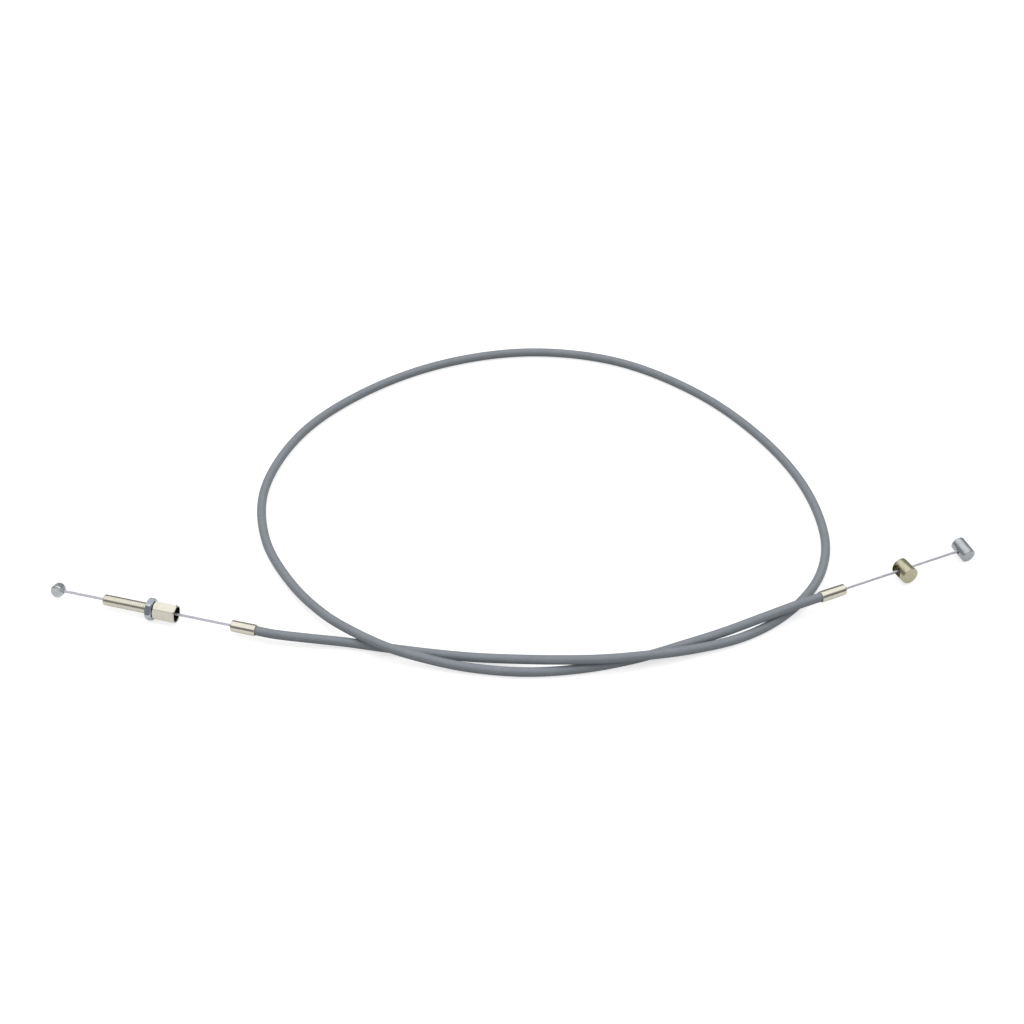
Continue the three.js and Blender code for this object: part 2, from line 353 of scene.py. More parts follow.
def spin(profile: np.ndarray, angle: np.ndarray, order: tuple[int, int, int]) -> np.ndarray:
    """Turns a profile about an axis of its end's frame.

    The point at a profile row and an angle is x along the axis, radius * cos(angle) along the
    next direction and radius * sin(angle) along the one after.

    Args:
        profile: the profile's pairs of x and radius, in mm.
        angle: the angles round the axis.
        order: which direction of the frame each of the three goes to.

    Returns:
        The grid of points in the end's frame.
    """
    turned = about_wire(profile[:, :1], profile[:, 1:], angle[None, :])
    grid = np.empty_like(turned)
    grid[..., list(order)] = turned
    return grid


def mark_spun(
    piece: bpy.types.Object, place: Place, centre: float, roll: float, axis: Axis
) -> None:
    """Stores each point's place relative to the axis that its piece was turned about.

    Args:
        piece: the piece.
        place: the end that it is on.
        centre: how far out from the mouth the piece's own origin lies, in mm.
        roll: how far the piece is rolled about the wire, in degrees.
        axis: which way the piece's axis lies.
    """
    count = len(piece.data.vertices)
    flat = np.empty(count * 3)
    piece.data.vertices.foreach_get("co", flat)
    local = (flat.reshape(-1, 3) / MM - np.asarray(place.mouth)) @ place.basis().T
    local[:, 0] -= centre
    c, s = math.cos(math.radians(roll)), math.sin(math.radians(roll))
    local = local @ np.array([[1, 0, 0], [0, c, -s], [0, s, c]])
    store(piece, SPUN, local[:, list(axis.value)])


def store(piece: bpy.types.Object, name: str, values: np.ndarray) -> None:
    """Stores a value or a vector on each point of a piece."""
    kind, key = ("FLOAT_VECTOR", "vector") if values.ndim == 2 else ("FLOAT", "value")
    attribute = piece.data.attributes.new(name, kind, "POINT")
    attribute.data.foreach_set(key, values.astype(np.float32).ravel())


def carve(piece: bpy.types.Object, cutters: list[bpy.types.Object]) -> None:
    """Cuts solids out of a piece and removes them, and melts the slivers that the cuts leave."""
    for cutter in cutters:
        cut = piece.modifiers.new("cut", "BOOLEAN")
        cut.operation = "DIFFERENCE"
        cut.solver = "EXACT"
        cut.object = cutter
    whole = piece.data
    graph = bpy.context.evaluated_depsgraph_get()
    mesh = bpy.data.meshes.new_from_object(piece.evaluated_get(graph))
    piece.modifiers.clear()
    piece.data = mesh
    mesh.name = piece.name
    skin = bmesh.new()
    skin.from_mesh(mesh)
    bmesh.ops.dissolve_degenerate(skin, dist=SLIVER * MM, edges=skin.edges[:])
    bmesh.ops.triangulate(skin, faces=skin.faces[:])
    skin.to_mesh(mesh)
    skin.free()
    mesh.shade_smooth()
    mesh.set_sharp_from_angle(angle=math.radians(BARREL_SHARP))
    bpy.data.meshes.remove(whole)
    for cutter in cutters:
        bpy.data.meshes.remove(cutter.data)


# ---- finishes


def linear(colour: tuple[int, int, int]) -> tuple[float, float, float, float]:
    """A screen colour of 0 to 255 as linear light, with full alpha."""
    share = np.asarray(colour) / 255
    light = np.where(share <= 0.04045, share / 12.92, ((share + 0.055) / 1.055) ** 2.4)
    return (*light.tolist(), 1.0)


class Graph:
    """A node tree with short calls for its nodes and links."""

    def __init__(self, tree: bpy.types.NodeTree) -> None:
        """Takes the tree over and empties it."""
        self.tree = tree
        tree.nodes.clear()

    def add(self, kind: str, inputs: dict | None = None, **settings: object) -> bpy.types.Node:
        """Adds a node.

        Args:
            kind: the node's type.
            inputs: the value of, or the socket that feeds, each input by its name or number.
            settings: the node's own settings.

        Returns:
            The node.
        """
        node = self.tree.nodes.new(kind)
        for key, value in settings.items():
            setattr(node, key, value)
        for key, value in (inputs or {}).items():
            if isinstance(value, bpy.types.NodeSocket):
                self.tree.links.new(value, node.inputs[key])
            else:
                node.inputs[key].default_value = value
        return node

    def math(self, operation: str, *values: object) -> bpy.types.NodeSocket:
        """Adds a sum, product or other operation on numbers and returns its result."""
        node = self.add("ShaderNodeMath", dict(enumerate(values)), operation=operation)
        return node.outputs[0]

    def mix(self, factor: object, first: object, second: object) -> bpy.types.NodeSocket:
        """Mixes two colours and returns the result."""
        node = self.add("ShaderNodeMix", {0: factor, 6: first, 7: second}, data_type="RGBA")
        return node.outputs[2]

    def noise(
        self, place: bpy.types.NodeSocket, scale: object, detail: float, roughness: float
    ) -> bpy.types.NodeSocket:
        """Adds a noise and returns its height, mostly between 0.3 and 0.7."""
        inputs = {"Vector": place, "Scale": scale, "Detail": detail, "Roughness": roughness}
        return self.add("ShaderNodeTexNoise", inputs).outputs["Fac"]

    def spread(self, value: bpy.types.NodeSocket, low: float, high: float) -> bpy.types.NodeSocket:
        """Stretches a number so that low becomes 0 and high becomes 1, and holds it there."""
        inputs = {"Value": value, "From Min": low, "From Max": high}
        return self.add("ShaderNodeMapRange", inputs).outputs[0]

    def uneven(self, height: bpy.types.NodeSocket, depth: float) -> bpy.types.NodeSocket:
        """The normal of a surface with a height of 0 to 1 that is a depth in mm."""
        inputs = {"Height": height, "Distance": depth * MM, "Strength": 1.0}
        return self.add("ShaderNodeBump", inputs).outputs[0]


def new_group(name: str, inputs: dict[str, str], outputs: dict[str, str]) -> bpy.types.NodeTree:
    """Makes an empty shader group with named sockets.

    Args:
        name: the group's name.
        inputs: the kind of each input: Float, Vector or Color.
        outputs: the kind of each output.

    Returns:
        The group.
    """
    group = bpy.data.node_groups.new(name, "ShaderNodeTree")
    group.nodes.clear()
    for way, sockets in (("INPUT", inputs), ("OUTPUT", outputs)):
        for socket, kind in sockets.items():
            group.interface.new_socket(socket, in_out=way, socket_type="NodeSocket" + kind)
    return group


def smudge_group() -> bpy.types.NodeTree:
    """Uneven patches such as handling, film and tarnish leave.

    Two noises of different size are added up, and the sum is stretched about its middle.
    """
    wanted = bpy.data.node_groups.get("smudges")
    if wanted:
        return wanted
    tree = new_group("smudges", {"Vector": "Vector", "Size": "Float"}, {"Mask": "Float"})
    graph = Graph(tree)
    given = graph.add("NodeGroupInput")
    coarse = graph.math("DIVIDE", 1.0, given.outputs["Size"])
    fine = graph.math("MULTIPLY", coarse, 4.7)
    patches = [graph.noise(given.outputs["Vector"], scale, 3.0, 0.6) for scale in (coarse, fine)]
    both = graph.math("ADD", *patches)
    graph.add("NodeGroupOutput", {"Mask": graph.spread(both, 0.7, 1.3)})
    return tree


def turning_group() -> bpy.types.NodeTree:
    """Fine rings about the x axis such as a turning tool or a drawing die leaves.

    A noise that hardly changes round the axis and changes fast along it gives the height.
    """
    wanted = bpy.data.node_groups.get("turning_marks")
    if wanted:
        return wanted
    tree = new_group("turning_marks", {"Vector": "Vector", "Rings": "Float"}, {"Height": "Float"})
    graph = Graph(tree)
    given = graph.add("NodeGroupInput")
    parts = graph.add("ShaderNodeSeparateXYZ", {0: given.outputs["Vector"]})
    squeezed = graph.add(
        "ShaderNodeCombineXYZ",
        {
            0: graph.math("MULTIPLY", parts.outputs[0], given.outputs["Rings"]),
            1: graph.math("MULTIPLY", parts.outputs[1], 0.15),
            2: graph.math("MULTIPLY", parts.outputs[2], 0.15),
        },
    )
    graph.add("NodeGroupOutput", {"Height": graph.noise(squeezed.outputs[0], 1.0, 4.0, 0.7)})
    return tree


def scuff_group() -> bpy.types.NodeTree:
    """Long thin scuffs along the x axis, such as a sheath gets as it is pulled through clips.

    A noise is squeezed along x so that its grains become streaks, and only its peaks are kept.
    """
    wanted = bpy.data.node_groups.get("scuffs")
    if wanted:
        return wanted
    tree = new_group("scuffs", {"Vector": "Vector", "Length": "Float"}, {"Mask": "Float"})
    graph = Graph(tree)
    given = graph.add("NodeGroupInput")
    parts = graph.add("ShaderNodeSeparateXYZ", {0: given.outputs["Vector"]})
    drawn = graph.add(
        "ShaderNodeCombineXYZ",
        {
            0: graph.math("DIVIDE", parts.outputs[0], given.outputs["Length"]),
            1: parts.outputs[1],
            2: parts.outputs[2],
        },
    )
    streaks = graph.noise(drawn.outputs[0], 2.2, 5.0, 0.65)
    graph.add("NodeGroupOutput", {"Mask": graph.spread(streaks, 0.56, 0.74)})
    return tree


def new_material(name: str) -> tuple[bpy.types.Material, Graph]:
    """Makes an empty material, and the graph that its nodes go into."""
    material = bpy.data.materials.new(name)
    material.use_nodes = True
    return material, Graph(material.node_tree)


@dataclass(frozen=True)
class Metal:
    """A plated or bare metal finish.

    Attributes:
        name: the material's name.
        colour: the metal's screen colour.
        tarnish_and_groove_shade: its screen colour where it is duller in patches, and the painted
            shade in its grooves.
        dullness: how much of the tarnish shows in patches, 0 to 1.
        roughness: the roughness of its clean parts.
        rings: turning marks to the millimetre.
        depth: the depth of the marks, in mm.
        attribute: the attribute with the place that the marks follow, or an empty text where
            they follow the object's own coordinates.
        patch: the size of the duller patches, in mm.
    """

    name: str
    colour: tuple[int, int, int]
    # the duller patches' colour, which also serves as the painted shade in grooves
    tarnish_and_groove_shade: tuple[int, int, int]
    dullness: float
    roughness: float
    rings: float
    depth: float
    attribute: str = SPUN
    patch: float = 3.0

    def material(self) -> bpy.types.Material:
        """Builds the material once and returns it."""
        wanted = bpy.data.materials.get(self.name)
        if wanted:
            return wanted
        material, graph = new_material(self.name)
        if self.attribute:
            named = graph.add("ShaderNodeAttribute", attribute_name=self.attribute)
            place = named.outputs["Vector"]
        else:
            own = graph.add("ShaderNodeTexCoord").outputs["Object"]
            scaled = graph.add("ShaderNodeVectorMath", {0: own, "Scale": 1 / MM}, operation="SCALE")
            place = scaled.outputs[0]
        smudges = graph.add(
            "ShaderNodeGroup", {"Vector": place, "Size": self.patch}, node_tree=smudge_group()
        )
        marks = graph.add(
            "ShaderNodeGroup", {"Vector": place, "Rings": self.rings}, node_tree=turning_group()
        )
        # Painted shade: the hollow attribute pulls grooves towards the duller colour, on top of the
        # real dull patches
        hollow = graph.add("ShaderNodeAttribute", attribute_name=HOLLOW_SHADE).outputs["Fac"]
        patch = graph.math("MULTIPLY", smudges.outputs["Mask"], self.dullness)
        groove_shade = graph.math("MULTIPLY", hollow, 0.75)
        dull_and_groove_shade = graph.math("MAXIMUM", patch, groove_shade)
        colour = graph.mix(dull_and_groove_shade, linear(self.colour), linear(self.tarnish_and_groove_shade))
        # Painted shade: deep in bores the colour turns to the bore's black and the metal stops
        # being metallic
        deep = graph.spread(hollow, 0.6, 0.9)
        colour = graph.mix(deep, colour, linear(BORE_SHADE_BLACK))
        rough = graph.math("MULTIPLY_ADD", dull_and_groove_shade, 0.3, self.roughness)
        bare = graph.math("SUBTRACT", 1.0, deep)
        shader = graph.add(
            "ShaderNodeBsdfPrincipled",
            {
                "Base Color": colour,
                "Roughness": rough,
                "Metallic": bare,
                "Specular IOR Level": graph.math("MULTIPLY", bare, 0.5),
                "Normal": graph.uneven(marks.outputs["Height"], self.depth),
            },
        )
        graph.add("ShaderNodeOutputMaterial", {"Surface": shader.outputs[0]})
        return material


@dataclass(frozen=True)
class Plastic:
    """A soft plastic finish with scuffs along its length.

    Attributes:
        name: the material's name.
        colour: the plastic's screen colour.
        worn: its screen colour where it is scuffed.
        shade: its screen colour in the darker of its uneven patches.
        roughness: the roughness of its clean parts.
        patch: the size of its uneven patches, in mm.
        scuff: the length of its scuffs, in mm.
        grain: the grains to the millimetre.
        depth: the depth of the grain, in mm.
    """

    name: str
    colour: tuple[int, int, int]
    worn: tuple[int, int, int]
    shade: tuple[int, int, int]
    roughness: float
    patch: float = 14.0
    scuff: float = 9.0
    grain: float = 5.0
    depth: float = 0.02

    def material(self) -> bpy.types.Material:
        """Builds the material once and returns it."""
        wanted = bpy.data.materials.get(self.name)
        if wanted:
            return wanted
        material, graph = new_material(self.name)
        place = graph.add("ShaderNodeAttribute", attribute_name=SPUN).outputs["Vector"]
        smudges = graph.add(
            "ShaderNodeGroup", {"Vector": place, "Size": self.patch}, node_tree=smudge_group()
        )
        scuffs = graph.add(
            "ShaderNodeGroup", {"Vector": place, "Length": self.scuff}, node_tree=scuff_group()
        )
        grain = graph.noise(place, self.grain, 3.0, 0.6)
        even = graph.mix(smudges.outputs["Mask"], linear(self.colour), linear(self.shade))
        scuffed = graph.math("MULTIPLY", scuffs.outputs["Mask"], 0.35)
        colour = graph.mix(scuffed, even, linear(self.worn))
        rough = graph.math("MULTIPLY_ADD", scuffs.outputs["Mask"], 0.18, self.roughness)
        height = graph.math("MULTIPLY_ADD", scuffs.outputs["Mask"], -0.5, grain)
        normal = graph.uneven(height, self.depth)
        shader = graph.add(
            "ShaderNodeBsdfPrincipled",
            {"Base Color": colour, "Roughness": rough, "Normal": normal, "IOR": 1.5},
        )
        graph.add("ShaderNodeOutputMaterial", {"Surface": shader.outputs[0]})
        return material


JACKET_PLASTIC = Plastic("grey_vinyl", (144, 150, 156), (168, 173, 178), (134, 141, 148), 0.42)
WIRE_STEEL = Metal("galvanised_strand", (240, 239, 247), (184, 184, 196), 0.15, 0.42, 2.0, 0.004)
CONDUIT_STEEL = Metal("flat_wound_steel", (150, 152, 156), (96, 98, 102), 0.5, 0.4, 1.2, 0.01, "")
CORE_STEEL = Metal("bright_core_wire", (190, 190, 198), (110, 110, 118), 0.4, 0.35, 1.2, 0.01, "")
NICKEL = Metal("bright_nickel", (234, 230, 216), (178, 172, 154), 0.2, 0.16, 6.0, 0.002)
ZINC = Metal("blue_zinc", (214, 221, 230), (150, 160, 175), 0.3, 0.24, 5.0, 0.005)
CAST_ZINC = Metal("grey_cast_zinc", (206, 210, 213), (146, 151, 155), 0.45, 0.34, 1.0, 0.02)
# Painted light: a paler copy of the cast zinc for the small nipple, lightened for the brighter
# light and glint it catches
LIT_PALE_ZINC = Metal("pale_cast_zinc", (224, 229, 231), (172, 179, 182), 0.4, 0.32, 1.0, 0.02)
OLIVE_NICKEL = Metal("yellowed_nickel", (212, 208, 180), (150, 145, 118), 0.35, 0.24, 6.0, 0.005)


def dress(
    piece: bpy.types.Object, finish: Metal | Plastic, slot: Slot, body: Body, *nodes: str
) -> None:
    """Gives a piece its finish and its body, and puts it in place of solids.

    Args:
        piece: the piece.
        finish: its finish.
        slot: the record's slot that it stands for; not used.
        body: the body that it rides on.
        nodes: the solids that it replaces.
    """
    piece.data.materials.clear()
    piece.data.materials.append(finish.material())
    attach(piece, body.value)
    if nodes:
        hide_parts(*nodes)
    faces = len(piece.data.polygons)
    LOG.info("%s: %d faces, %s, rides on %s", piece.name, faces, finish.name, body.value)


# ---- the cable's pieces


@dataclass
class Sheath:
    """The jacket over its conduit, and the still middle of the wire.

    Attributes:
        left: the left straight stretch.
        right: the right straight stretch.
        diameter: the jacket's outer diameter.
        wall: the jacket's wall.
        inset: how far inside each ferrule's mouth the sheath ends.
        straight: how far inside each mouth the sheath stays straight.
        crossing: how much higher a stretch lies where it crosses over another.
        rings: the number of sections along the jacket.
        sides: the number of points round each section's outer wall, and its inner one.
        route: the centre line between the straight ends, as x, y and the share of a crossing.
    """

    left: Place
    right: Place
    diameter: float = 5.0
    wall: float = 0.4
    inset: float = 1.3
    straight: float = 23.0
    crossing: float = 5.3
    rings: int = 860
    sides: int = 28
    route: tuple[tuple[float, float, float], ...] = (
        (-109.8, -40.5, 0.4), (-90.3, -42, 0.13), (-67.8, -46, 0.02),
        (-45.8, -50, 0.01), (-23.8, -53.5, 0.08), (-1.3, -57, 0.42),
        (21.7, -60.5, 0.92), (43.7, -60.5, 1.03), (67.2, -56, 0.76),
        (91.2, -48.5, 0.28), (116.2, -38.5, 0.03), (135.7, -25.5, 0.01),
        (152.2, -7.5, 0), (164.2, 14.5, 0), (169.7, 43.5, 0),
        (163.2, 89.5, 0), (142.7, 136.5, 0), (107.7, 182, 0),
        (60.7, 215, 0), (9.7, 225, 0), (-40.3, 214.5, 0),
        (-86.3, 187, 0), (-124.3, 144, 0.01), (-142.8, 90, 0.01),
        (-138.8, 44, 0.02), (-121.8, 5.5, 0.15), (-101.8, -23.5, 0.66),
        (-84.8, -40, 1.03), (-67.3, -51, 0.95), (-48.3, -56.5, 0.45),
        (-24.8, -61.5, 0.08), (3.7, -64.5, 0.01), (32.2, -62, 0.01),
        (60.7, -54.5, 0.02), (87.2, -44, 0.15), (108.7, -36, 0.5),
        (129.2, -27.5, 0.95), (147.7, -18, 1.03),
    )

    def centre_line(self, count: int) -> tuple[np.ndarray, np.ndarray]:
        """The sheath's centre line, from inside the left ferrule to inside the right one.

        Args:
            count: the number of points wanted.

        Returns:
            Points at equal distances in mm, and how far along each lies.
        """
        depths = np.array([self.inset, self.straight / 2, self.straight])
        inner = np.stack([-depths, depths * 0, depths * 0], axis=1)
        middle = np.array(self.route)
        middle[:, 2] = self.diameter / 2 + middle[:, 2] * self.crossing
        points = np.vstack([self.left.row(inner), middle, self.right.row(inner[::-1])])
        return evenly(spline(points), count)

    def build(self) -> bpy.types.Object:
        """Makes the jacket: a hollow tube of one smooth section along the centre line.

        At each place the section's directions are level and square to the path, and square to
        both of those. The place at an angle is the centre plus radius * (cos, sin) in them. Out
        along the outer wall and back along the inner one makes one closed skin.

        Returns:
            The jacket.
        """
        centre, along = self.centre_line(self.rings)
        path = np.gradient(centre, axis=0)
        path /= np.linalg.norm(path, axis=1, keepdims=True)
        level = np.cross([0, 0, 1.0], path)
        level /= np.linalg.norm(level, axis=1, keepdims=True)
        upright = np.cross(path, level)
        angle = around(self.sides)[None, :, None]
        spokes = np.cos(angle) * level[:, None] + np.sin(angle) * upright[:, None]
        walls = (self.diameter / 2, self.diameter / 2 - self.wall)
        skin = [centre[:, None] + radius * spokes for radius in walls]
        jacket = ring_solid("pvc_jacket", np.concatenate([skin[0], skin[1][::-1]]), 60)
        unrolled = [about_wire(along[:, None], radius, angle[..., 0]) for radius in walls]
        store(jacket, SPUN, np.concatenate([unrolled[0], unrolled[1][::-1]]).reshape(-1, 3))
        dress(jacket, JACKET_PLASTIC, Slot.JACKET, Body.SHEATH, "outer_jacket")
        (self.left.row(np.array([-self.inset, 0, 0])) * MM).tolist()
        return jacket

    def dress_inner_parts(self) -> None:
        """Gives the conduit and the still middle of the wire their finishes."""
        for name, finish in (("spiral_conduit", CONDUIT_STEEL), ("inner_wire_middle", CORE_STEEL)):
            solid = bpy.data.objects[name]
            solid.data.materials.clear()
            solid.data.materials.append(finish.material())
            LOG.info("%s: %s", name, finish.name)


@dataclass
class WireEnd:
    """One end of the inner wire: a strand of twelve wires round a core.

    Attributes:
        name: the piece's name.
        place: the end's straight stretch.
        body: the body that it rides on.
        node: the solid that it replaces.
        tip: how far out its end in the nipple lies.
        inset: how far inside the mouth its other end lies.
        diameter: its diameter over the outer wires.
        lay: the length in which the outer wires go round once.
        wires: the number of outer wires.
        step: the distance from one section to the next.
        sides: the number of points round each outer wire's part of a section.
        shade: how dark the painted shade in the grooves between the wires is, 0 to 1.
    """

    name: str
    place: Place
    body: Body
    node: str
    tip: float
    inset: float = 11.5
    diameter: float = 1.5
    lay: float = 10.0
    wires: int = 12
    step: float = 0.4
    sides: int = 8
    shade: float = 0.35

    def build(self, nipple: bpy.types.Object) -> bpy.types.Object:
        """Makes the strand.

        The section is the outline of circles side by side on a circle: at an angle a from the
        nearest wire's middle, the radius is R cos a + sqrt(r^2 - R^2 sin^2 a). It turns once in
        each lay.

        Args:
            nipple: the nipple on the strand's end; not used.

        Returns:
            The strand.
        """
        half = math.pi / self.wires
        ring = self.diameter / 2 / (1 + math.sin(half))
        small = ring * math.sin(half) * 1.0001
        rows = int((self.tip + self.inset) / self.step)
        x = np.linspace(-self.inset, self.tip, rows)[:, None]
        angle = around(self.wires * self.sides)[None, :]
        off = (angle + half) % (2 * half) - half
        radius = ring * np.cos(off) + np.sqrt(np.maximum(small**2 - (ring * np.sin(off)) ** 2, 0))
        turned = angle + x / self.lay * 2 * math.pi
        strand = capped_solid(self.name, self.place.row(about_wire(x, radius, turned)), 70)
        # Painted shade: the deeper a groove between the wires, the darker it is marked, for the
        # shade between them
        sunk = self.diameter / 2 - radius
        deep = np.clip(sunk / sunk.max(), 0, 1) ** 2
        flat = np.concatenate([np.broadcast_to(deep, turned.shape).ravel(), [0, 0]])
        store(strand, HOLLOW_SHADE, flat * self.shade)
        mark_spun(strand, self.place, 0, 0, Axis.ALONG_WIRE)
        dress(strand, WIRE_STEEL, Slot.WIRE, self.body, self.node)
        line = self.place.row(np.stack([x[:, 0], 0 * x[:, 0], 0 * x[:, 0]], 1)) * MM
        return strand


@dataclass
class Ferrule:
    """A drawn cup over the jacket's end, its inner lip rolled in on to the jacket.

    Attributes:
        name: the piece's name.
        place: the end's straight stretch.
        node: the solid that it replaces.
        length: its length.
        diameter: its outer diameter.
        bore: its inner diameter.
        lip: the diameter of its rolled lip.
        end_wall: the thickness of its end.
        hole: the diameter of the wire's hole.
    """

    name: str
    place: Place
    node: str
    length: float
    diameter: float = 6.3
    bore: float = 5.6
    lip: float = 5.06
    end_wall: float = 1.0
    hole: float = 2.2

    def build(self) -> bpy.types.Object:
        """Makes the cup by turning its rounded profile about the wire."""
        outer, bore, lip, hole = self.diameter / 2, self.bore / 2, self.lip / 2, self.hole / 2
        profile = rounded(
            [
                (-self.end_wall, hole),
                (-self.end_wall, bore),
                (-self.length + 1.2, bore),
                (-self.length + 0.4, lip),
                (-self.length, lip),
                (-self.length, outer - 0.12),
                (-self.length + 0.35, outer),
                (0, outer),
                (0, hole + 0.15),
                (-0.15, hole),
            ],
            0.4,
            5,
        )
        grid = spin(refined(profile, 1.0), around(64), Axis.ALONG_WIRE.value)
        cup = ring_solid(self.name, self.place.row(grid))
        mark_spun(cup, self.place, 0, 0, Axis.ALONG_WIRE)
        dress(cup, NICKEL, Slot.NICKEL, Body.SHEATH, self.node)
        return cup


@dataclass
class AdjustingScrew:
    """A hexagonal cup for the ferrule with a threaded stud, drilled through for the wire.

    Attributes:
        place: the end's straight stretch.
        standoff: how far out the cup's mouth lies.
        across_flats: the cup's width across flats.
        cup_length: the length of the hexagon.
        bore: the cup's bore.
        depth: the bore's depth.
        chamfer: the chamfer at both ends of the hexagon.
        roll: its roll about the wire, in degrees.
        stud: the stud's diameter over the thread.
        stud_length: the stud's length.
        pitch: the thread's pitch.
        thread: the thread's depth.
        run_out: the length over which the thread fades at its root and its tip.
        shade: how dark the painted shade in the thread's grooves is, 0 to 1.
        hole: the diameter of the wire's hole.
    """

    place: Place
    standoff: float = 31.2
    across_flats: float = 9.2
    cup_length: float = 12.5
    bore: float = 8.1
    depth: float = 10.5
    chamfer: float = 0.7
    roll: float = 17.0
    stud: float = 6.0
    stud_length: float = 29.4
    pitch: float = 1.0
    thread: float = 0.15
    run_out: float = 0.8
    shade: float = 0.35
    hole: float = 2.2

    def build(self) -> bpy.types.Object:
        """Makes the screw as one closed skin.

        The profile goes out along the hexagon and the stud and back through the holes. On the
        hexagon's rows the radius is the lesser of the profile's and the hexagon's at the angle.
        On the stud's rows the thread's depth is taken off, fading in at the root and the tip.

        Returns:
            The screw.
        """
        flat, end = self.across_flats / 2, self.cup_length + self.stud_length
        corner, shank, hole, bore = flat + self.chamfer, self.stud / 2, self.hole / 2, self.bore / 2
        outline = refined(
            rounded(
                [
                    (0, bore + 0.2),
                    (0, flat - 0.05),
                    (self.chamfer, corner + 0.05),
                    (self.cup_length - self.chamfer, corner + 0.05),
                    (self.cup_length, flat - 0.05),
                    (self.cup_length, shank - 0.35),
                    (self.cup_length + 1.0, shank - 0.35),
                    (self.cup_length + 1.3, shank),
                    (end - 0.6, shank),
                    (end, shank - 0.6),
                    (end, hole + 0.45),
                    (end - 0.4, hole),
                    (self.depth + 0.8, hole),
                    (self.depth, bore - 0.3),
                    (self.depth - 0.3, bore),
                    (0.2, bore),
                ],
                0.12,
                3,
            ),
            0.09,
        )
        x, radius = outline[:, :1], outline[:, 1:]
        angle = around(96, math.radians(self.roll + 30))[None, :]
        on_hexagon = (radius > flat - 0.6) & (x < self.cup_length + 0.01) & (radius > bore + 0.25)
        hexed = np.minimum(radius, hexagon(angle, self.across_flats, self.roll))
        on_stud = (x > self.cup_length + 1.0) & (radius > shank - 0.62)
        root = np.clip((x - self.cup_length - 1.0) / self.run_out, 0, 1)
        fade = root * np.clip((end + 0.1 - x) / self.run_out, 0, 1)
        cut = thread_depth(x, angle, self.pitch) * fade * on_stud
        # Painted shade: the thread's grooves are marked darker, and the cup's bore and the wire's
        # hole black, where shade falls
        inside = (radius < bore + 0.05) & (x < self.depth + 1) & (x > 0.3) | (radius < hole + 0.4)
        shaped = np.where(on_hexagon, hexed, radius + 0 * angle) - cut * self.thread
        grid = about_wire(x + self.standoff, shaped, angle)
        screw = ring_solid("threaded_adjuster", self.place.row(grid), 38)
        store(screw, HOLLOW_SHADE, np.maximum(cut * self.shade, inside).ravel())
        mark_spun(screw, self.place, self.standoff, 0, Axis.ALONG_WIRE)
        dress(screw, NICKEL, Slot.NICKEL, Body.ADJUSTER, "adjusting_screw")
        return screw


@dataclass
class LockNut:
    """A hexagonal nut on the stud, chamfered on both sides.

    Attributes:
        place: the end's straight stretch.
        standoff: how far out its inner face lies.
        across_flats: its width across flats.
        thickness: its thickness.
        chamfer: its chamfer.
        roll: its roll about the wire, in degrees.
        bore: its bore.
        pitch: the thread's pitch.
    """

    place: Place
    standoff: float = 44.0
    across_flats: float = 11.0
    thickness: float = 3.7
    chamfer: float = 0.6
    roll: float = 30.0
    bore: float = 6.6
    pitch: float = 1.0

    def build(self) -> bpy.types.Object:
        """Makes the nut as one closed skin.

        The outer rows take the lesser of the chamfered profile and the hexagon. The bore's rows
        have shallow thread ridges, which stay clear of the stud.

        Returns:
            The nut.
        """
        flat, bore = self.across_flats / 2, self.bore / 2
        outline = refined(
            rounded(
                [
                    (0, bore + 0.35),
                    (0, flat - 0.1),
                    (self.chamfer, flat + self.chamfer),
                    (self.thickness - self.chamfer, flat + self.chamfer),
                    (self.thickness, flat - 0.1),
                    (self.thickness, bore + 0.35),
                    (self.thickness - 0.35, bore),
                    (0.35, bore),
                ],
                0.15,
                3,
            ),
            0.11,
        )
        x, radius = outline[:, :1], outline[:, 1:]
        angle = around(144, math.radians(self.roll + 30))[None, :]
        hexed = np.minimum(radius, hexagon(angle, self.across_flats, self.roll))
        ridge = (1 - thread_depth(x, angle, self.pitch)) * (radius < bore + 0.05)
        shaped = np.where(radius > flat - 0.5, hexed, radius + 0 * angle) - 0.2 * ridge
        grid = about_wire(x + self.standoff, shaped, angle)
        nut = ring_solid("hexagon_nut", self.place.row(grid), 38)
        mark_spun(nut, self.place, self.standoff, 0, Axis.ALONG_WIRE)
        dress(nut, ZINC, Slot.ZINC, Body.LOCK_NUT, "lock_nut")
        return nut


@dataclass(frozen=True)
class Hole:
    """A round hole along the wire, cut into a cross barrel from its side nearer the ferrule.

    Attributes:
        end: how far past the barrel's middle it goes.
        bore: its diameter.
        flare: how much its radius grows towards its mouth.
    """

    end: float
    bore: float
    flare: float = 0.0


